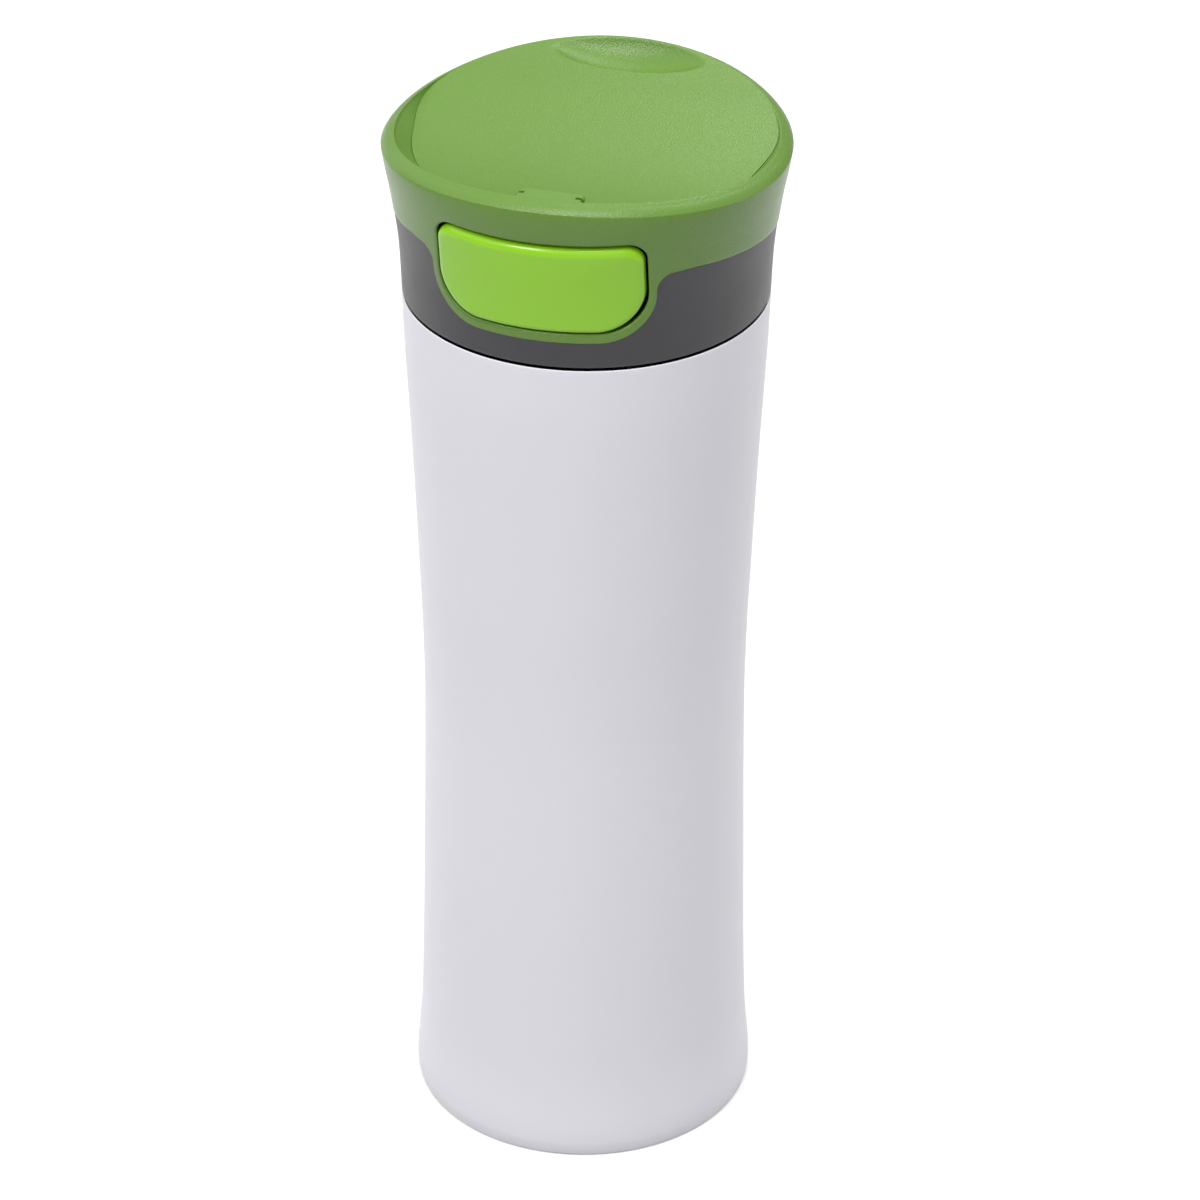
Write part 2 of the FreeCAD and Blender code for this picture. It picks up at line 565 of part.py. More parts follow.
def cam_path(steps):
    """Centres of the follower in the rod's frame as the rod goes in and the lever swings down with it."""
    dy, dz = FOLLOWER_Y - PIVOT_Y, FOLLOWER_Z - PIVOT_Z
    path = []
    for i in range(steps + 1):
        share = i / steps
        a = math.radians(-SWING * share)
        y = PIVOT_Y + dy * math.cos(a) - dz * math.sin(a) - TRAVEL * share
        z = PIVOT_Z + dy * math.sin(a) + dz * math.cos(a)
        path.append((y, z))
    return path


def cam_slot():
    """The slot in the rod's blade that the follower runs in, cut right through."""
    r = FOLLOWER_R + FOLLOWER_GAP
    wide = BLADE_HALF + OVER
    path = cam_path(4)
    parts = []
    for (y0, z0), (y1, z1) in zip(path, path[1:]):
        length = math.hypot(y1 - y0, z1 - z0)
        ny, nz = -(z1 - z0) / length * r, (y1 - y0) / length * r
        corners = [(y0 + ny, z0 + nz), (y1 + ny, z1 + nz), (y1 - ny, z1 - nz), (y0 - ny, z0 - nz)]
        parts.append(plate_yz(corners, -wide, wide))
    parts += [along_x(r, -wide, wide, y, z) for y, z in path]
    return fuse(*parts)


def trigger_rod():
    rod = along_y(ROD_R, ROD_END, BLADE[0][0] + OVER, 0, ROD_Z)
    blade = plate_yz(BLADE, -BLADE_HALF, BLADE_HALF).cut(cam_slot())
    return fuse(rod, blade)


def button_spring():
    y0, y1 = SPRING_Y
    turns = SPRING_TURNS
    helix = Part.makeHelix((y1 - y0) / turns, y1 - y0, SPRING_R)
    corners = []
    for i in range(SPRING_SIDES + 1):
        a = 2 * math.pi * i / SPRING_SIDES
        corners.append(point(SPRING_R + SPRING_WIRE * math.cos(a), SPRING_WIRE * math.sin(a)))
    ring = Part.makePolygon(corners)
    coil = Part.Wire(helix.Edges).makePipeShell([ring], True, True)
    coil.rotate(V(0, 0, 0), V(1, 0, 0), -90)
    coil.translate(V(0, y0, ROD_Z))
    return coil


# ---- lever parts ------------------------------------------------------------------------------------------
def valve_lever():
    pieces = [block(-ARM_HALF, ARM_HALF, *ARM_Y, *ARM_Z), block(-PAD_HALF, PAD_HALF, *PAD_Y, *ARM_Z)]
    for side in (-1, 1):
        x0, x1 = sorted((side * CHEEK_IN, side * CHEEK_OUT))
        pieces.append(plate_yz(CHEEK, x0, x1))
        pieces.append(along_x(HUB_R, x0, x1, PIVOT_Y, PIVOT_Z))
        pieces.append(along_x(EYE_R, x0, x1, FOLLOWER_Y, FOLLOWER_Z))
    lever = fuse(*pieces)
    lever = lever.cut(along_x(PIN_R + PIN_GAP, -CHEEK_OUT, CHEEK_OUT, PIVOT_Y, PIVOT_Z))
    return lever.cut(along_x(FOLLOWER_R, -CHEEK_OUT, CHEEK_OUT, FOLLOWER_Y, FOLLOWER_Z))


def follower_pin():
    return along_x(FOLLOWER_R, -CHEEK_OUT, CHEEK_OUT, FOLLOWER_Y, FOLLOWER_Z)


def drink_stopper():
    z0, z1 = ARM_Z[1], CEILING - STOPPER_GAP
    r, half = PORT_R + STOPPER_OVER, PORT_HALF
    pad = fuse(block(-half, half, PORT_Y - r, PORT_Y + r, z0, z1),
               Part.makeCylinder(r, z1 - z0, V(-half, PORT_Y, z0)),
               Part.makeCylinder(r, z1 - z0, V(half, PORT_Y, z0)))
    rim = [e for e in pad.Edges if abs(e.BoundBox.ZMin - z1) < NEAR and abs(e.BoundBox.ZMax - z1) < NEAR]
    return pad.makeFillet(STOPPER_EDGE, rim)


def vent_stopper():
    z0, z1 = ARM_Z[1], CEILING - STOPPER_GAP
    tip, taper = 1.2, 0.7
    cone = Part.makeCone(VENT_STOPPER_R, VENT_STOPPER_R - taper, tip, V(0, VENT_Y, z1 - tip))
    return fuse(Part.makeCylinder(VENT_STOPPER_R, z1 - z0 - tip, V(0, VENT_Y, z0)), cone)


PARTS = [
    outer_shell, inner_liner, vacuum_base, vacuum_seal, getter, base_cap, foot_ring,
    lid_shell, lid_collar, top_cover, spout_seal, valve_housing, lid_gasket, rod_seal, lever_pin,
    button_cap, trigger_rod, button_spring,
    valve_lever, follower_pin, drink_stopper, vent_stopper,
]

os.makedirs("parts", exist_ok=True)
for make in PARTS:
    shape = make()
    print(make.__name__, shape.isValid(), len(shape.Solids), round(shape.Volume, 1))
    shape.exportStep("parts/%s.step" % make.__name__)
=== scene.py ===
import bmesh
import bpy
import math
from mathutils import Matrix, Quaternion, Vector


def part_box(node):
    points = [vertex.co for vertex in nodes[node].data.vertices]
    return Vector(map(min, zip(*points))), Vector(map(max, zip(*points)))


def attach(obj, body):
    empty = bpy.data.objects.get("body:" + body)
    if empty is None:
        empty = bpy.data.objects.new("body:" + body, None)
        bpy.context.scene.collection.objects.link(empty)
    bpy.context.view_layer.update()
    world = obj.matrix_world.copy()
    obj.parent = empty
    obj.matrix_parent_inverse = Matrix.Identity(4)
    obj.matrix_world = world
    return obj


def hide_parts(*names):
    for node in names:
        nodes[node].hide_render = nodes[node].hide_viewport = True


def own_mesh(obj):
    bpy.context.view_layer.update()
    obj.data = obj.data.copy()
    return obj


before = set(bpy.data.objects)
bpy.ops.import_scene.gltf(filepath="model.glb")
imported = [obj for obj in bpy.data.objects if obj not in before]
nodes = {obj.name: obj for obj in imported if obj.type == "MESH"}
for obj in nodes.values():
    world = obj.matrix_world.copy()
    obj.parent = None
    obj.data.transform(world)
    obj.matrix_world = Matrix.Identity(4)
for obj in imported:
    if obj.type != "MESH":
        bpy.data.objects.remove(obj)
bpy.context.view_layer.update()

MM = 0.001


def box_mm(node):
    """The lowest and highest corners of a CAD piece, in millimetres."""
    low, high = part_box(node)
    return [c / MM for c in low], [c / MM for c in high]


collar_low, collar_high = box_mm("lid_collar")
button_low, button_high = box_mm("button_cap")
spring_low, spring_high = box_mm("button_spring")
liner_low, liner_high = box_mm("inner_liner")

# Body outline as (height, radius), and the lid's outer wall the same way, in millimetres.
BODY = [(3.2, 36.93), (5.5, 36.85), (8.5, 36.6), (13.0, 36.2), (19.0, 35.8), (27.0, 35.5), (38.0, 35.2),
        (56.0, 34.85), (80.0, 34.4), (100.0, 34.2), (116.0, 34.45), (131.0, 35.0), (146.0, 35.55),
        (160.0, 36.15), (172.0, 36.75), (182.0, 37.25), (192.7, 37.6)]
LID = [(194.5, 37.72), (200.0, 37.9), (206.0, 38.25), (212.0, 38.95), (218.0, 39.85), (222.0, 40.6),
       (226.0, 41.26), (228.5, 41.45), (232.0, 41.5)]
SHOULDER_Z, NECK_R, LIP_Z, SHELL_T = 193.9, 33.9, liner_high[2], 0.6
NECK_FOOT = SHOULDER_Z - 0.5
LEAD, STARTS, RIB_H, RIB_HALF, CREST_HALF = 9.0, 3, 1.2, 0.55, 0.35
COLLAR_Z, COLLAR_IN, SKIRT_IN, SKIRT_OUT, SKIRT_Z = collar_low[2], 35.4, 33.8, 35.7, 203.6
COLLAR_TOP, COLLAR_SLOPE = 212.1, 3.9 / 38.0
COLLAR_FOOT_R, COLLAR_FOOT_TOP, COLLAR_SINK = 37.2, 195.0, 0.12
LEDGE_R, LEDGE_TOP, LEDGE_LOW = 34.3, 202.6, 201.2  # the collar's inward ledge above its thread
SHELL_TOP_IN, FRAME_BACK_R = 222.4, 36.0
SADDLE_Z, SADDLE_R, SADDLE_Y = 228.35, 215.0, -1.5
KINK_DROP, RIDGE_R, RIDGE_DROP, CREST_R, BOWL_R = 2.2, 39.35, 0.5, 38.7, 38.5
SCOOP_Y, SCOOP_Z, SCOOP_R, SCOOP_END, FLAT_Y = -12.0, 225.0, 96.0, 12.0, 23.0
TAB_HALF, TAB_BACK = 6.6, -24.5
NOTCH_IN, NOTCH_OUT, NOTCH_FRONT, NOTCH_BACK = 5.2, 6.95, -28.0, -26.9
DISH_Y, DISH_X, DISH_HALF, DISH_DEEP = 31.8, 15.8, 6.0, 3.5
SLOT_LEAN = 0.58
GAP = 0.6  # between the button and its window
BUTTON_T = 2.0  # depth of the button's wall along Y
# Half width, low, high, upper and lower corner radius.
WINDOW = (button_high[0] + GAP, button_low[2] - GAP, button_high[2] + GAP, 3.6, 8.8)
BEZEL = (22.8, 200.3, 10.3, 4.0)  # half width, low, corner radius, flare radius
PATCH = 50.0  # degrees either side of the button that the window's patch covers
STEP = 0.5  # degrees between columns round the lid


def clamp(t, low=0.0, high=1.0):
    return max(low, min(high, t))


def smooth(t):
    t = clamp(t)
    return t * t * (3 - 2 * t)


def curve_at(points, z):
    """A smooth curve through (z, r) points with slopes taken from the neighbours."""
    z = clamp(z, points[0][0], points[-1][0])
    last = len(points) - 1
    i = max(j for j in range(last) if points[j][0] <= z)

    def slope(j):
        a, b = points[max(j - 1, 0)], points[min(j + 1, last)]
        return (b[1] - a[1]) / (b[0] - a[0])

    (z0, r0), (z1, r1) = points[i], points[i + 1]
    h = z1 - z0
    t = (z - z0) / h
    return ((1 + 2 * t) * (1 - t) ** 2 * r0 + t * (1 - t) ** 2 * h * slope(i)
            + t * t * (3 - 2 * t) * r1 + t * t * (t - 1) * h * slope(i + 1))


def lid_r(z):
    """Radius of the lid's outer wall at a height."""
    return curve_at(LID, z)


def polar(r, deg, z):
    """A point round the axis; zero degrees is the button's side and +90 is +X."""
    a = math.radians(deg)
    return (r * math.sin(a), -r * math.cos(a), z)


def make_object(name, verts, faces, sharp=35.0, merge=0.0):
    mesh = bpy.data.meshes.new(name)
    mesh.from_pydata([(x * MM, y * MM, z * MM) for x, y, z in verts], [], faces)
    mesh.update()
    obj = bpy.data.objects.new(name, mesh)
    bpy.context.collection.objects.link(obj)
    tidy_mesh(mesh, sharp, merge)
    return obj


def tidy_mesh(mesh, sharp, merge=0.0):
    """Joins doubled points, turns the faces outwards and shades smooth up to an angle."""
    bm = bmesh.new()
    bm.from_mesh(mesh)
    if merge:
        bmesh.ops.remove_doubles(bm, verts=bm.verts, dist=merge * MM)
    bmesh.ops.recalc_face_normals(bm, faces=bm.faces)
    bm.to_mesh(mesh)
    bm.free()
    mesh.shade_smooth()
    mesh.set_sharp_from_angle(angle=math.radians(sharp))


def grid_faces(rows, cols, start=0, closed_cols=False, closed_rows=False):
    faces = []
    for i in range(rows if closed_rows else rows - 1):
        for j in range(cols if closed_cols else cols - 1):
            a, b = start + i * cols + j, start + i * cols + (j + 1) % cols
            c, d = start + ((i + 1) % rows) * cols + (j + 1) % cols, start + ((i + 1) % rows) * cols + j
            faces.append((a, b, c, d))
    return faces


class Builder:
    """Collects grids of points into one mesh."""

    def __init__(self):
        self.verts = []
        self.faces = []

    def grid(self, rows, closed_cols=False, closed_rows=False):
        start = len(self.verts)
        for row in rows:
            self.verts.extend(row)
        self.faces.extend(grid_faces(len(rows), len(rows[0]), start, closed_cols, closed_rows))

    def cap(self, ring):
        start = len(self.verts)
        n = len(ring)
        self.verts.extend(ring)
        centre = tuple(sum(p[k] for p in ring) / n for k in range(3))
        self.verts.append(centre)
        self.faces.extend((start + i, start + (i + 1) % n, start + n) for i in range(n))

    def tube(self, rows):
        """A closed tube through the rows, with a cap at each end."""
        self.grid(rows, closed_cols=True)
        self.cap(rows[0])
        self.cap(rows[-1])

    def make(self, name, sharp=35.0, merge=0.0):
        return make_object(name, self.verts, self.faces, sharp, merge)


def ring_rows(profile, n):
    """A profile of (r, z) points turned round the axis in n columns."""
    return [[polar(r, 360.0 * j / n, z) for j in range(n)] for r, z in profile]


def arc(r0, z0, r1, z1, corner, steps=6):
    """A rounded corner from one point to another, bulging towards the corner point."""
    out = []
    for i in range(steps + 1):
        t = i / steps
        w = math.sqrt(0.5)
        a, b, c = (1 - t) ** 2, 2 * t * (1 - t) * w, t * t
        s = a + b + c
        out.append(((a * r0 + b * corner[0] + c * r1) / s, (a * z0 + b * corner[1] + c * z1) / s))
    return out


def thread_rows(builder, root, height, z0, z1, phase):
    """Helical ribs as closed strips that taper away at both ends."""
    n = 160
    for k in range(STARTS):
        rows = []
        for i in range(n + 1):
            t = i / n
            z = z0 + RIB_HALF + (z1 - z0 - 2 * RIB_HALF) * t
            deg = 360.0 * (z - phase) / LEAD + 360.0 * k / STARTS + 90.0
            fade = smooth(min(t, 1 - t) / 0.04)
            h = height * (0.1 + 0.9 * fade)
            w, c = RIB_HALF, CREST_HALF * (0.5 + 0.5 * fade)
            section = [(root - math.copysign(0.1, height), -w), (root + h * 0.8, -(w + c) / 2 + 0.05),
                       (root + h, -c * 0.7), (root + h, c * 0.7), (root + h * 0.8, (w + c) / 2 - 0.05),
                       (root - math.copysign(0.1, height), w)]
            rows.append([polar(r, deg, z + dz) for r, dz in section])
        builder.tube(rows)


# ---- heights of the lid's top --------------------------------------------------------------------
def saddle(y):
    """Height of the rim, lowest near the middle and rising to both sides."""
    return SADDLE_Z + (y - SADDLE_Y) ** 2 / (2 * SADDLE_R)


def scoop(y):
    """The scooped top: a hollow along X that runs out into the rim's saddle at the drinking side."""
    if y <= SCOOP_END:
        return SCOOP_Z + (y - SCOOP_Y) ** 2 / (2 * SCOOP_R)
    if y >= FLAT_Y:
        return saddle(y)
    h = FLAT_Y - SCOOP_END
    t = (y - SCOOP_END) / h
    z0, z1 = SCOOP_Z + (SCOOP_END - SCOOP_Y) ** 2 / (2 * SCOOP_R), saddle(FLAT_Y)
    s0, s1 = (SCOOP_END - SCOOP_Y) / SCOOP_R, (FLAT_Y - SADDLE_Y) / SADDLE_R
    return ((1 + 2 * t) * (1 - t) ** 2 * z0 + t * (1 - t) ** 2 * h * s0
            + t * t * (3 - 2 * t) * z1 + t * t * (t - 1) * h * s1)


ROUND_Y = (DISH_HALF ** 2 + DISH_DEEP ** 2) / (2 * DISH_DEEP)
ROUND_X = (DISH_X ** 2 + DISH_DEEP ** 2) / (2 * DISH_DEEP)
DISH_AXIS_Z = saddle(DISH_Y) - DISH_DEEP + ROUND_Y


def dish(x, y):
    """Height of the drinking recess's lens-shaped bottom, or nothing outside it."""
    inner = ROUND_X ** 2 - x * x
    if inner <= 0:
        return None
    rho = math.sqrt(inner) - (ROUND_X - ROUND_Y)
    if rho <= abs(y - DISH_Y):
        return None
    return DISH_AXIS_Z - math.sqrt(rho ** 2 - (y - DISH_Y) ** 2)


def top_z(x, y):
    """Height of the scooped top with the recess blended into it."""
    z = scoop(y)
    d = dish(x, y)
    if d is None:
        return z
    k = 0.2
    h = clamp(0.5 + 0.5 * (z - d) / k)
    return z * (1 - h) + d * h - k * h * (1 - h)


def lower_edge(deg):
    """Height of the parting line between the green shell and the gray collar, away from the button."""
    y = -lid_r(COLLAR_TOP) * math.cos(math.radians(deg))
    return COLLAR_TOP - COLLAR_SLOPE * y


def kink(deg):
    """Radius and height of the rim's outer edge."""
    y = -41.0 * math.cos(math.radians(deg))
    z = saddle(y) - KINK_DROP
    return lid_r(z), z


def flare(deg):
    """How fast the wall inside the rim closes in: in full at the button, upright at the drinking side."""
    away = abs((deg + 180) % 360 - 180)
    return 1 - smooth((away - 85) / 30)


def cover_edge(deg):
    """Radius where the scooped top meets the wall inside the rim."""
    r = BOWL_R
    for _ in range(30):
        y = -r * math.cos(math.radians(deg))
        r = BOWL_R - flare(deg) * (saddle(y) - scoop(y))
    return r


# ---- steel body ----------------------------------------------------------------------------------
def body_wall():
    """The painted outer wall with its rounded foot and the small edge at its shoulder."""
    outside = [(34.9, 0.2), (36.2, 0.2)] + arc(36.4, 0.22, 36.62, 0.6, (36.57, 0.25), 4)
    outside += arc(36.62, 0.6, 36.93, 3.2, (36.9, 1.6), 6)
    zs = [3.5 + (192.4 - 3.5) * i / 150 for i in range(151)]
    outside += [(curve_at(BODY, z), z) for z in zs]
    outside += [(37.6, 192.7), (37.61, 193.4)]
    outside += arc(37.61, SHOULDER_Z - 0.16, 37.45, SHOULDER_Z, (37.61, SHOULDER_Z), 5)
    outside += [(37.35, SHOULDER_Z - 0.02), (37.28, NECK_FOOT), (34.4, NECK_FOOT)]
    inside = [(34.4, NECK_FOOT - 0.3), (36.2, NECK_FOOT - 0.3), (36.9, NECK_FOOT - 0.4)]
    inside += [(curve_at(BODY, z) - SHELL_T, z) for z in (192.0, 160.0, 130.0, 100.0, 60.0, 30.0, 10.0, 4.0)]
    inside += [(35.8, 0.8), (34.9, 0.8)]
    b = Builder()
    b.grid(ring_rows(outside + inside, 240), closed_cols=True, closed_rows=True)
    return b.make("body_wall", sharp=50)


def neck():
    """The bare steel shoulder and the neck with its thread."""
    inner = NECK_R - SHELL_T
    top = NECK_FOOT + 0.04
    profile = [(37.27, top), (34.6, top), (NECK_R + 0.25, top + 0.05), (NECK_R, top + 0.3)]
    profile += [(NECK_R, z) for z in (196.0, 199.0, LIP_Z - SHELL_T)]
    profile += [(inner, LIP_Z - SHELL_T), (inner, NECK_FOOT - 0.2), (37.27, NECK_FOOT - 0.2)]
    b = Builder()
    b.grid(ring_rows(profile, 240), closed_cols=True, closed_rows=True)
    thread_rows(b, NECK_R, RIB_H, 195.8, 200.9, 0.0)
    return b.make("neck", sharp=50)


# ---- collar --------------------------------------------------------------------------------------
def frame_low(x):
    """The middle of the green frame's lower band at a distance from the button's centre line."""
    r = (WINDOW[4] + BEZEL[2]) / 2
    half = (WINDOW[0] + BEZEL[0]) / 2
    low = (WINDOW[1] + BEZEL[1]) / 2
    out = max(x - (half - r), 0.0)
    return low + r - math.sqrt(max(r * r - out * out, 0.0))


def collar():
    """The gray ring. Round the button its edge hides under the green frame."""
    half_x = (WINDOW[0] + BEZEL[0]) / 2
    rows = []
    rows_n = 22
    columns = int(360 / STEP)
    foot_r = lid_r(COLLAR_FOOT_TOP) - COLLAR_SINK
    for j in range(columns):
        deg = j * STEP
        signed = (deg + 180) % 360 - 180
        top = lower_edge(deg) - 0.05
        x = abs(lid_r(205.0) * math.sin(math.radians(signed)))
        if abs(signed) < 60 and x < half_x:
            top = frame_low(x)
        elif abs(signed) < 60 and abs(39.2 * math.sin(math.radians(signed))) < 29.0:
            top = lower_edge(deg) + 1.2
        column = [(COLLAR_IN + 0.8, COLLAR_Z), (COLLAR_FOOT_R, COLLAR_Z)]
        column += arc(COLLAR_FOOT_R, COLLAR_Z, foot_r, COLLAR_FOOT_TOP, (foot_r, COLLAR_Z), 4)[1:]
        for i in range(1, rows_n + 1):
            z = COLLAR_FOOT_TOP + (top - 0.15 - COLLAR_FOOT_TOP) * i / rows_n
            column.append((lid_r(z) - COLLAR_SINK, z))
        ledge = min(LEDGE_TOP, top)
        column += [(lid_r(top) - COLLAR_SINK - 0.12, top), (SKIRT_OUT + 0.05, top), (SKIRT_OUT + 0.05, ledge),
                   (LEDGE_R, ledge), (LEDGE_R, LEDGE_LOW), (COLLAR_IN, LEDGE_LOW), (COLLAR_IN, 195.3)]
        rows.append([polar(r, deg, z) for r, z in column])
    b = Builder()
    b.grid(rows, closed_cols=True, closed_rows=True)
    thread_rows(b, COLLAR_IN, -RIB_H, 195.6, 199.9, LEAD / STARTS / 2)
    return b.make("collar_ring", sharp=40)


# ---- green shell ---------------------------------------------------------------------------------
def round_window(half, low, high, r_top, r_low, offset, counts):
    """The window's outline moved inwards by an offset, as (x, z), clockwise from the middle of the upper left
    corner. counts gives the points along the top, down each side in five stretches, and along the bottom."""
    x, z0, z1 = half - offset, low + offset, high - offset
    a, b = max(r_top - offset, 0.05), max(r_low - offset, 0.05)

    def corner(cx, cz, r, start, end, n):
        return [(cx + r * math.cos(math.radians(start + (end - start) * i / n)),
                 cz + r * math.sin(math.radians(start + (end - start) * i / n))) for i in range(n)]

    def line(p, q, n):
        return [(p[0] + (q[0] - p[0]) * i / n, p[1] + (q[1] - p[1]) * i / n) for i in range(n)]

    top, side, bottom = counts
    c = 12
    marks = [z1 - a] + [z0 + b + (z1 - a - z0 - b) * share for share in (0.55, 0.36, 0.18, 0.0)]
    half_path = line((0, z1), (x - a, z1), top // 2 - c)
    half_path += corner(x - a, z1 - a, a, 90, 45, c)
    side_path = corner(x - a, z1 - a, a, 45, 0, side[0] // 2)
    side_path += line((x, marks[0]), (x, marks[1]), side[0] - side[0] // 2)
    for k in range(3):
        side_path += line((x, marks[k + 1]), (x, marks[k + 2]), side[k + 1])
    side_path += corner(x - b, z0 + b, b, 0, -45, side[4])
    low_path = corner(x - b, z0 + b, b, -45, -90, bottom // 4)
    low_path += line((x - b, z0), (0, z0), bottom // 2 - bottom // 4)
    right = half_path + side_path + low_path
    left = [(-px, pz) for px, pz in reversed(right[1:])]
    return right + [(0, z0)] + left


def frame_outline(counts):
    """The outer edge of the window's patch in the same order, as (degrees, z)."""
    top, side, bottom = counts
    half, low, corner_r, flare = BEZEL

    def on_wall(x, z):
        return math.degrees(math.asin(x / lid_r(z))), z

    out = [(PATCH * i / (top // 2), kink(PATCH * i / (top // 2))[1]) for i in range(top // 2)]
    z_top, z_low = kink(PATCH)[1], lower_edge(PATCH)
    out += [(PATCH, z_top + (z_low - z_top) * i / side[0]) for i in range(side[0])]
    flare_deg = on_wall(half + flare, lower_edge(43.0))[0]
    for i in range(side[1]):
        deg = PATCH + (flare_deg - PATCH) * i / side[1]
        out.append((deg, lower_edge(deg)))
    z_flare = lower_edge(flare_deg)
    for i in range(side[2]):
        a = math.radians(90 + 90 * i / side[2])
        out.append(on_wall(half + flare + flare * math.cos(a), z_flare - flare + flare * math.sin(a)))
    for i in range(side[3]):
        z = z_flare - flare + (low + corner_r - z_flare + flare) * i / side[3]
        out.append(on_wall(half, z))
    for start, count in ((0, side[4]), (-45, bottom // 4)):
        for i in range(count):
            a = math.radians(start - 45 * i / count)
            x, z = half - corner_r + corner_r * math.cos(a), low + corner_r + corner_r * math.sin(a)
            out.append(on_wall(x, z))
    n = bottom // 2 - bottom // 4
    for i in range(n):
        out.append(on_wall((half - corner_r) * (1 - i / n), low))
    left = [(-deg, z) for deg, z in reversed(out[1:])]
    return out + [(0.0, low)] + left


def green_shell():
    """The green wall with the button's window and frame, and the rim on top of it."""
    top = int(2 * PATCH / STEP)
    wall_rows = 16
    counts = (top, (wall_rows, 5, 10, 4, 8), 64)
    b = Builder()

    # The wall away from the button.
    rows = []
    columns = [PATCH + STEP * j for j in range(int((360 - 2 * PATCH) / STEP) + 1)]
    for i in range(wall_rows + 1):
        row = []
        for deg in columns:
            z1, z0 = kink(deg)[1], lower_edge(deg)
            z = z1 + (z0 - z1) * i / wall_rows
            row.append(polar(lid_r(z), deg, z))
        rows.append(row)
    for dr, dz in ((0.06, 0.08), (0.2, 0.1), (2.0, 0.1)):
        rows.append([polar(lid_r(lower_edge(deg)) - dr, deg, lower_edge(deg) - dz + 0.02) for deg in columns])
    rows.append([polar(SKIRT_OUT, deg, SKIRT_Z) for deg in columns])
    rows.append([polar(SKIRT_IN, deg, SKIRT_Z) for deg in columns])
    rows.append([polar(SKIRT_IN, deg, SHELL_TOP_IN) for deg in columns])
    b.grid(rows)

    # The patch with the window, from its outer edge inwards.
    outer = frame_outline(counts)
    roll = 0.7
    rings = []
    steps = 7
    hole = round_window(*WINDOW, -roll, counts)
    domain = [(math.degrees(math.asin(clamp(x / lid_r(z), -0.99, 0.99))), z) for x, z in hole]
    is_low = [abs(deg) < PATCH - 0.01 and z < 216 for deg, z in outer]
    for depth, slip in ((1.6, 0.1), (0.2, 0.1), (0.06, 0.06)):
        ring = []
        for (deg, z), low in zip(outer, is_low):
            r = lid_r(z) - (depth if low else 0.0)
            ring.append(polar(r, deg, z - (slip * 0.3 if low else 0.0)))
        rings.append(ring)
    for k in range(steps + 1):
        t = k / steps
        ring = []
        for (d0, z0), (d1, z1) in zip(outer, domain):
            deg, z = d0 + (d1 - d0) * t, z0 + (z1 - z0) * t
            ring.append(polar(lid_r(z), deg, z))
        rings.append(ring)
    for k in range(1, 8):
        a = math.radians(90 * k / 7)
        outline = round_window(*WINDOW, -roll * (1 - math.sin(a)), counts)
        depth = roll * (1 - math.cos(a))
        ring = [(x, -math.sqrt(lid_r(z) ** 2 - x * x) + depth, z) for x, z in outline]
        rings.append(ring)
    inner = round_window(*WINDOW, 0.0, counts)
    rings.append([(x, -math.sqrt(FRAME_BACK_R ** 2 - x * x), z) for x, z in inner])
    rings.append([(x, -math.sqrt(SKIRT_IN ** 2 - x * x), z) for x, z in inner])
    b.grid(rings, closed_cols=True)

    # The rim, all the way round.
    columns = [STEP * j for j in range(int(360 / STEP))]
    rows = []
    for deg in columns:
        rk, zk = kink(deg)
        c = -math.cos(math.radians(deg))
        z_ridge, z_crest = saddle(RIDGE_R * c) - RIDGE_DROP, saddle(CREST_R * c) - 0.04
        profile = [(rk, zk)]
        for i in range(11):
            t = i / 10
            bulge = 0.16 * math.sin(math.pi * t)
            profile.append((rk - 0.06 + (RIDGE_R + 0.08 - rk + 0.06) * t + bulge * 0.6,
                            zk + 0.08 + (z_ridge - 0.06 - zk - 0.08) * t + bulge * 0.8))
        profile += [(RIDGE_R, z_ridge), (RIDGE_R - 0.09, z_ridge + 0.04)]
        profile.append((CREST_R + 0.1, z_crest - 0.02))
        lip = 0.06 + 0.2 * smooth((z_crest - scoop(BOWL_R * c)) / 0.8)
        for i in range(6):
            a = math.radians(90 * i / 5)
            profile.append((CREST_R - (CREST_R - BOWL_R) * math.sin(a), z_crest - lip * (1 - math.cos(a))))
        for drop in (0.4, 1.5, 3.0, 4.5):
            profile.append((BOWL_R - flare(deg) * drop, z_crest - lip - drop))
        profile.append((SKIRT_IN, SHELL_TOP_IN))
        rows.append([polar(r, deg, z) for r, z in profile])
    b.grid(rows, closed_rows=True)
    return b.make("lid_upper", sharp=42, merge=0.004)


# ---- scooped cover -------------------------------------------------------------------------------
def scooped_cover():
    """The scooped plate with its drinking recess, and an underside that follows the top."""
    n = 360
    b = Builder()
    radii = [24.0 * i / 40 for i in range(1, 41)] + [24.0 + 14.2 * i / 100 for i in range(1, 101)]
    edges = [cover_edge(360.0 * j / n) + 0.03 for j in range(n)]
    largest = radii[-1]

    def row(t, drop):
        out = []
        for j in range(n):
            x, y, _ = polar(edges[j] * t, 360.0 * j / n, 0)
            out.append((x, y, top_z(x, y) - drop))
        return out

    rows = [row(r / largest, 0.05) for r in radii]
    rows += [row(t, 1.6) for t in (0.999, 0.96, 0.9, 0.84, 0.78, 0.7, 0.5, 0.3, 0.1)]
    b.tube(rows)
    return b.make("scooped_cover", sharp=60, merge=0.002)


def cut(obj, cutter):
    """Takes the cutter's volume out of a piece and removes the cutter."""
    mod = obj.modifiers.new("cut", "BOOLEAN")
    mod.operation = "DIFFERENCE"
    mod.solver = "EXACT"
    mod.object = cutter
    deps = bpy.context.evaluated_depsgraph_get()
    mesh = bpy.data.meshes.new_from_object(obj.evaluated_get(deps))
    obj.modifiers.clear()
    old = obj.data
    obj.data = mesh
    bpy.data.meshes.remove(old)
    bpy.data.objects.remove(cutter)


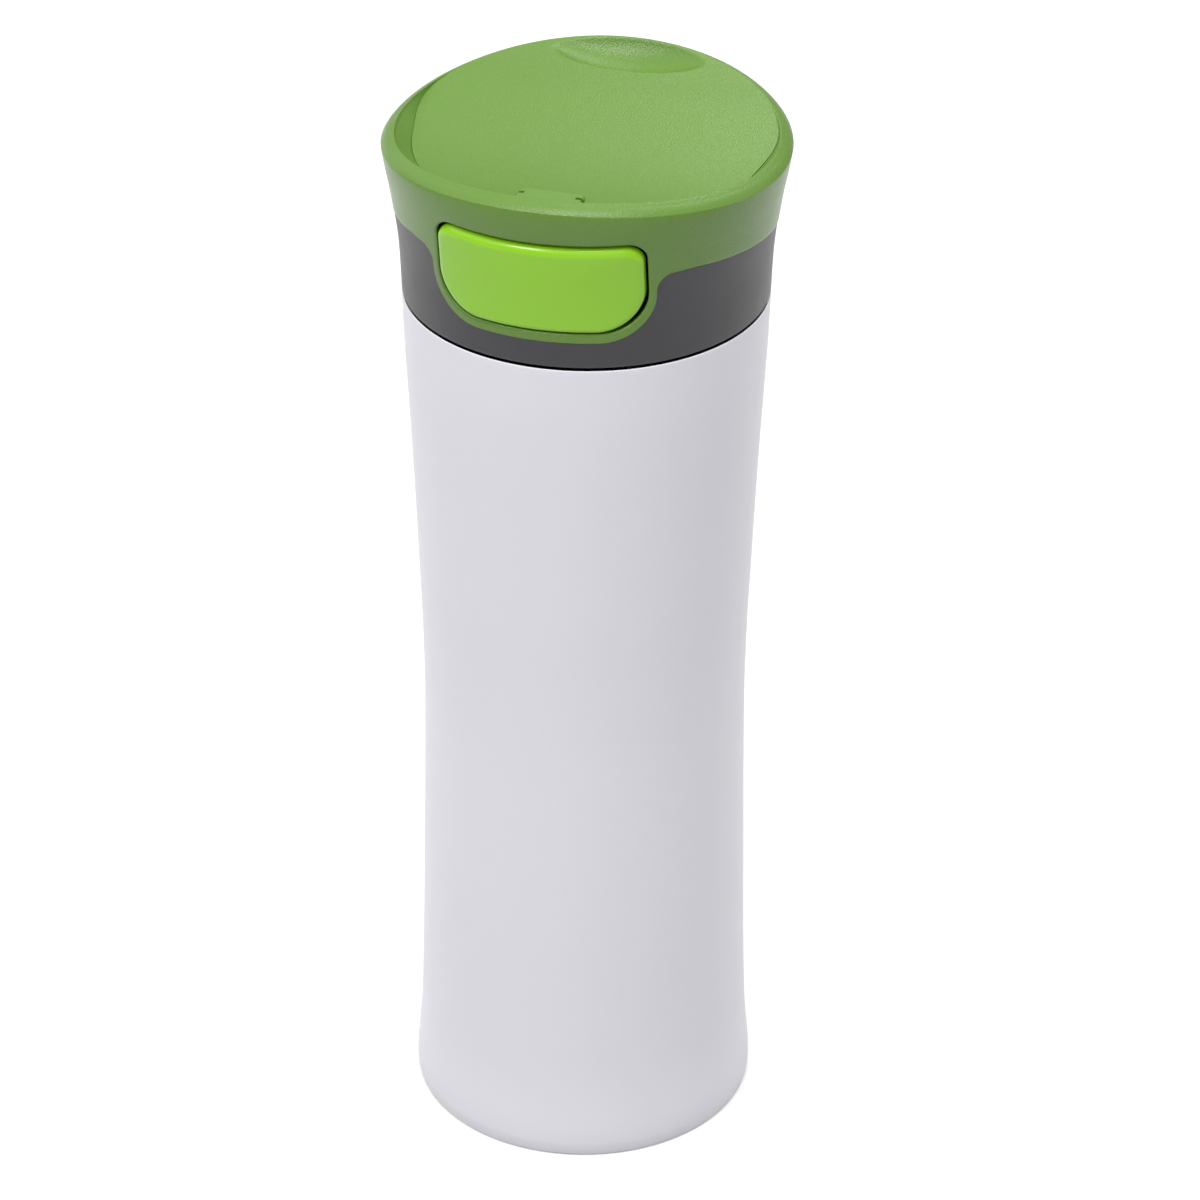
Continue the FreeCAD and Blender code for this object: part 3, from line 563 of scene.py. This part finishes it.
def slot_prism(name, y, z0, z1, half, r, lean):
    """A slot-shaped prism along Z that leans towards +Y."""
    rows = []
    for z in (z0, z1):
        yc = y + lean * (z - z0)
        row = []
        for i in range(32):
            a = 2 * math.pi * i / 32
            cx = half if math.cos(a) > 0 else -half
            row.append((cx + r * math.cos(a), yc + r * math.sin(a), z))
        rows.append(row)
    b = Builder()
    b.tube(rows)
    return b.make(name, merge=0.002)


def notch(side):
    """A narrow slot at one end of the snap tab."""
    x0, x1 = side * NOTCH_IN, side * NOTCH_OUT
    corners = [(x0, NOTCH_FRONT), (x1, NOTCH_FRONT), (x1, NOTCH_BACK), (x0, NOTCH_BACK)]
    rows = [[(x, y, z) for x, y in corners] for z in (scoop(NOTCH_BACK) - 0.9, 234.0)]
    b = Builder()
    b.tube(rows)
    return b.make("notch")


def snap_tab():
    """The low tab just inside the rim on the button's side, with a rounded edge."""
    half, back, front, rise, r, tilt = TAB_HALF, TAB_BACK, -36.5, 0.9, 1.6, 0.06
    outline = [(-half, front), (half, front)]
    outline += [(half, front + (back - r - front) * i / 8) for i in range(1, 8)]
    for i in range(7):
        a = math.radians(90 * i / 6)
        outline.append((half - r + r * math.cos(a), back - r + r * math.sin(a)))
    outline += [(half - r - 2 * (half - r) * i / 8, back) for i in range(1, 8)]
    for i in range(7):
        a = math.radians(90 + 90 * i / 6)
        outline.append((-half + r + r * math.cos(a), back - r + r * math.sin(a)))
    outline += [(-half, back - r + (front - back + r) * i / 8) for i in range(1, 8)]

    def ring(inset, dz):
        out = []
        for x, y in outline:
            px = x * (half - inset) / half
            py = front + (y - front) * (back - front - inset) / (back - front)
            out.append((px, py, scoop(py) + dz + tilt * (py - back)))
        return out

    rows = [ring(0.0, -1.6), ring(0.0, rise - 0.5), ring(0.08, rise - 0.28), ring(0.22, rise - 0.12)]
    rows += [ring(0.42, rise - 0.03), ring(0.7, rise)]
    rows += [ring(half * t, rise) for t in (0.25, 0.5, 0.75, 0.98)]
    b = Builder()
    b.tube(rows)
    return b.make("snap_tab", sharp=50, merge=0.002)


# ---- button --------------------------------------------------------------------------------------
def button_face():
    """The curved button: a thin wall whose rolled edge is wider along the top."""
    half, low, high, r_top, r_low = WINDOW
    gap, proud, aside, down = 0.45, 0.45, 0.13, 0.1
    shape = (half - gap, low + gap - down, high - gap - down, r_top - gap + 0.6, r_low - gap + 0.7)
    counts = (120, (16, 4, 6, 4, 10), 80)

    roll, top_wider, edge_depth, top_deeper, crown = 1.1, 1.2, 0.75, 1.35, 0.22

    def point(x, z, depth, lift=0.0):
        r = lid_r(z) + proud + lift
        return (x - aside, -math.sqrt(r * r - x * x) + depth, z)

    zc = (low + high) / 2
    base = round_window(*shape, 0.0, counts)
    rings = []
    for share in (0.03, 0.25, 0.5, 0.75, 0.97, 1.0):
        rings.append([point(x * share, zc + (z - zc) * share, BUTTON_T) for x, z in base])
    lifts = [smooth((z - (high - gap - 4.0)) / 4.0) for x, z in base]

    def rolled(inset, share):
        """The outline moved inwards, and further along the top where the roll is wider."""
        outline = round_window(*shape, inset, counts)
        return [(x, z - top_wider * share * lift) for (x, z), lift in zip(outline, lifts)]

    for k in range(1, 10):
        a = math.radians(10 * k)
        share = 1 - math.cos(a)
        outline = rolled(roll * share, share)
        rings.append([point(x, z, (edge_depth + top_deeper * lift) * (1 - math.sin(a)))
                      for (x, z), lift in zip(outline, lifts)])
    last = rolled(roll, 1.0)
    for k in range(1, 14):
        t = 1 - k / 14
        rings.append([point(x * t, zc + (z - zc) * t, 0.0, crown * (1 - t * t)) for x, z in last])
    b = Builder()
    b.grid(rings, closed_cols=True)
    b.cap(rings[-1])
    b.cap(rings[0])
    return b.make("button_face", sharp=50, merge=0.002)


def return_spring():
    """A round-wire coil with closed ends round the trigger rod."""
    y0, y1, z = spring_low[1] + 0.4, spring_high[1] - 0.4, (spring_low[2] + spring_high[2]) / 2
    radius, wire, turns = 4.4, 0.4, 7
    n = 40 * turns
    rows = []
    for i in range(n + 1):
        t = i / n
        a = 2 * math.pi * turns * t
        y = y0 + (y1 - y0) * t
        row = []
        for k in range(10):
            p = 2 * math.pi * k / 10
            r = radius + wire * math.cos(p)
            row.append((r * math.cos(a), y + wire * math.sin(p), z + r * math.sin(a)))
        rows.append(row)
    b = Builder()
    b.tube(rows)
    return b.make("return_spring", sharp=60)


# ---- materials -----------------------------------------------------------------------------------
def srgb(r, g, b):
    def one(c):
        c /= 255.0
        return c / 12.92 if c <= 0.04045 else ((c + 0.055) / 1.055) ** 2.4
    return (one(r), one(g), one(b), 1.0)


def material(name, color, rough, grain=0.05, grain_size=0.35, tint=0.04, metallic=0.0, specular=0.5,
             stretch=None, rough_spread=0.05, coat=0.0, coat_rough=0.3):
    """A moulded or coated surface: fine grain in the normal, and slow changes in colour and roughness."""
    mat = bpy.data.materials.new(name)
    mat.use_nodes = True
    tree = mat.node_tree
    n, link = tree.nodes, tree.links.new
    shader = n["Principled BSDF"]
    shader.inputs["Metallic"].default_value = metallic
    shader.inputs["Specular IOR Level"].default_value = specular
    if coat:
        shader.inputs["Coat Weight"].default_value = coat
        shader.inputs["Coat Roughness"].default_value = coat_rough
    coords = n.new("ShaderNodeTexCoord")
    mapping = n.new("ShaderNodeMapping")
    if stretch:
        mapping.inputs["Scale"].default_value = stretch
    link(coords.outputs["Object"], mapping.inputs["Vector"])

    def noise(scale, detail):
        node = n.new("ShaderNodeTexNoise")
        node.inputs["Scale"].default_value = scale
        node.inputs["Detail"].default_value = detail
        node.inputs["Roughness"].default_value = 0.55
        link(mapping.outputs["Vector"], node.inputs["Vector"])
        return node

    slow = noise(28.0, 4.0)
    mix = n.new("ShaderNodeMix")
    mix.data_type = "RGBA"
    link(slow.outputs["Fac"], mix.inputs["Factor"])
    mix.inputs["A"].default_value = tuple(c * (1 - tint) for c in color[:3]) + (1,)
    mix.inputs["B"].default_value = tuple(min(1, c * (1 + tint)) for c in color[:3]) + (1,)
    link(mix.outputs["Result"], shader.inputs["Base Color"])
    fine = noise(1.0 / (grain_size * MM), 2.0)
    ranged = n.new("ShaderNodeMapRange")
    medium = noise(160.0, 4.0)
    link(medium.outputs["Fac"], ranged.inputs["Value"])
    ranged.inputs["To Min"].default_value = rough - rough_spread
    ranged.inputs["To Max"].default_value = rough + rough_spread
    link(ranged.outputs["Result"], shader.inputs["Roughness"])
    bump = n.new("ShaderNodeBump")
    bump.inputs["Strength"].default_value = grain
    bump.inputs["Distance"].default_value = 0.0002
    link(fine.outputs["Fac"], bump.inputs["Height"])
    link(bump.outputs["Normal"], shader.inputs["Normal"])
    return mat


def set_material(obj, mat):
    obj.data.materials.clear()
    obj.data.materials.append(mat)


def set_cad(name, mat):
    obj = nodes[name]
    if not obj.material_slots:
        obj.data.materials.append(mat)
    for slot in obj.material_slots:
        slot.material = mat


coat = material("powder_coat", srgb(224, 223, 231), 0.42, grain=0.10, grain_size=0.30, tint=0.012, coat=0.15,
                coat_rough=0.25)
green = material("green_plastic", srgb(88, 126, 37), 0.30, grain=0.6, grain_size=0.36, tint=0.025)
gray = material("gray_plastic", srgb(43, 41, 45), 0.42, grain=0.45, grain_size=0.32, tint=0.03)
lime = material("lime_plastic", srgb(140, 201, 22), 0.22, grain=0.02, grain_size=0.6, tint=0.008,
                rough_spread=0.01)
# A lighter copy of the green plastic for the snap tab: painted highlight, since the tab reads lighter only
# where its faces catch more light.
tab_painted_lighter = material("tab_plastic_painted_lighter", srgb(95, 134, 50), 0.27, grain=0.3, grain_size=0.36, tint=0.02)
dark = material("dark_plastic", srgb(70, 70, 74), 0.45, grain=0.2, grain_size=0.3)
rubber = material("rubber", srgb(88, 88, 90), 0.7, grain=0.25, grain_size=0.25)
silicone = material("silicone", srgb(200, 202, 204), 0.5, grain=0.08, grain_size=0.5)
steel = material("liner_steel", srgb(190, 188, 186), 0.28, grain=0.12, grain_size=0.5, metallic=1.0,
                 stretch=(1, 1, 18))
wire = material("wire_steel", srgb(196, 196, 198), 0.25, grain=0.06, grain_size=0.4, metallic=1.0)
pellet = material("getter_pellet", srgb(96, 92, 90), 0.8, grain=0.5, grain_size=0.3)

CAD_LOOKS = {
    "inner_liner": steel, "vacuum_base": steel, "vacuum_seal": steel, "getter": pellet, "base_cap": coat,
    "foot_ring": rubber, "spout_seal": silicone, "valve_housing": dark, "lid_gasket": silicone,
    "rod_seal": silicone, "lever_pin": wire, "trigger_rod": dark, "valve_lever": dark, "follower_pin": wire,
    "drink_stopper": silicone, "vent_stopper": silicone,
}
for node, look in CAD_LOOKS.items():
    set_cad(node, look)


def add(piece, body, node, mat):
    """Gives a piece its material and body, and hides the CAD piece that it stands for, if any."""
    set_material(piece, mat)
    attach(piece, body)
    if node:
        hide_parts(node)


add(body_wall(), "mug_body", "outer_shell", coat)
add(neck(), "mug_body", None, steel)
add(collar(), "lid", "lid_collar", gray)
add(green_shell(), "lid", "lid_shell", green)
cover = scooped_cover()
cut(cover, slot_prism("slot", 18.5 + SLOT_LEAN * 11, 223.4, 236.0, 4.0, 2.6, SLOT_LEAN))
tab = snap_tab()
for side in (-1, 1):
    cut(cover, notch(side))
    cut(tab, notch(side))
tidy_mesh(cover.data, 60)
add(cover, "lid", "top_cover", green)
tidy_mesh(tab.data, 50)
# The snap tab gets the lighter green copy: painted highlight.
add(tab, "lid", None, tab_painted_lighter)
add(button_face(), "button", "button_cap", lime)
spring = return_spring()
add(spring, "lid", "button_spring", wire)
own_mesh(spring)

# ---- stage, light and camera ---------------------------------------------------------------------
floor_mesh = bpy.data.meshes.new("floor")
FLOOR_HALF = 3.0
corners = [(FLOOR_HALF * x, FLOOR_HALF * y, 0) for x, y in ((-1, -1), (1, -1), (1, 1), (-1, 1))]
floor_mesh.from_pydata(corners, [], [(0, 1, 2, 3)])
floor = bpy.data.objects.new("floor", floor_mesh)
bpy.context.collection.objects.link(floor)
paper = material("floor_paper", srgb(244, 244, 244), 0.8, grain=0.02, grain_size=2.0, tint=0.005)
floor.data.materials.append(paper)
floor.visible_diffuse = False


def sky(up, level, down):
    """White surroundings whose brightness changes only with height above the horizon."""
    world = bpy.data.worlds.new("studio")
    bpy.context.scene.world = world
    world.use_nodes = True
    tree = world.node_tree
    coords = tree.nodes.new("ShaderNodeTexCoord")
    split = tree.nodes.new("ShaderNodeSeparateXYZ")
    ramp = tree.nodes.new("ShaderNodeValToRGB")
    half = tree.nodes.new("ShaderNodeMapRange")
    half.inputs["From Min"].default_value = -1.0
    tree.links.new(coords.outputs["Generated"], split.inputs["Vector"])
    tree.links.new(split.outputs["Z"], half.inputs["Value"])
    tree.links.new(half.outputs["Result"], ramp.inputs["Fac"])
    tree.links.new(ramp.outputs["Color"], tree.nodes["Background"].inputs["Color"])
    stops = [(0.0, down), (0.42, down), (0.52, level), (1.0, up)]
    while len(ramp.color_ramp.elements) < len(stops):
        ramp.color_ramp.elements.new(0.5)
    for element, (at, value) in zip(ramp.color_ramp.elements, stops):
        element.position = at
        element.color = (value, value, value, 1)


def softbox(name, at, target, size, power):
    """A rectangular lamp aimed at a point; places and sizes in metres, power in watts."""
    light = bpy.data.lights.new(name, "AREA")
    light.shape = "RECTANGLE"
    light.size, light.size_y = size
    light.energy = power
    obj = bpy.data.objects.new(name, light)
    bpy.context.collection.objects.link(obj)
    obj.location = at
    obj.rotation_euler = (Vector(target) - Vector(at)).to_track_quat("-Z", "Y").to_euler()


sky(1.50, 0.10, 0.48)
softbox("front", (0.7, -1.4, 0.5), (0, 0, 0.12), (1.2, 1.2), 1.8)
softbox("left", (-0.9, -0.2, 0.95), (0, 0, 0.2), (0.6, 0.6), 1.2)
softbox("window", (-0.34, -0.80, 1.05), (0, 0, 0.22), (0.24, 0.24), 4.6)
softbox("high", (0.12, -0.38, 1.2), (0, 0, 0.2), (0.22, 0.22), 4.2)
softbox("sheen", (0.045, 0.17, 0.425), (0.03, 0, 0.226), (0.15, 0.07), 0.15)
softbox("edge left", (-1.0, 0.7, 0.35), (0, 0, 0.15), (0.6, 1.0), 1.3)
softbox("edge right", (1.0, 0.7, 0.35), (0, 0, 0.15), (0.6, 1.0), 1.3)

AZIMUTH, ELEVATION, DISTANCE, AIM_Z, AIM_RIGHT, ROLL = 15.0, 30.82, 1.0, 0.1192, 0.00315, 0.36
SENSOR, LENS = 36.0, 141.7
az, el = math.radians(AZIMUTH), math.radians(ELEVATION)
back = Vector((math.sin(az) * math.cos(el), -math.cos(az) * math.cos(el), math.sin(el)))
right = Vector((math.cos(az), math.sin(az), 0))
aim = Vector((0, 0, AIM_Z)) + right * AIM_RIGHT
camera = bpy.data.cameras.new("camera")
camera.sensor_width, camera.lens = SENSOR, LENS
camera.clip_end = 20.0
camera_object = bpy.data.objects.new("camera", camera)
bpy.context.collection.objects.link(camera_object)
camera_object.location = aim + back * DISTANCE
level = (-back).to_track_quat("-Z", "Y")
camera_object.rotation_euler = (level @ Quaternion((0, 0, 1), math.radians(ROLL))).to_euler()
bpy.context.scene.camera = camera_object
bpy.context.scene.view_settings.view_transform = "Standard"

bpy.context.view_layer.update()
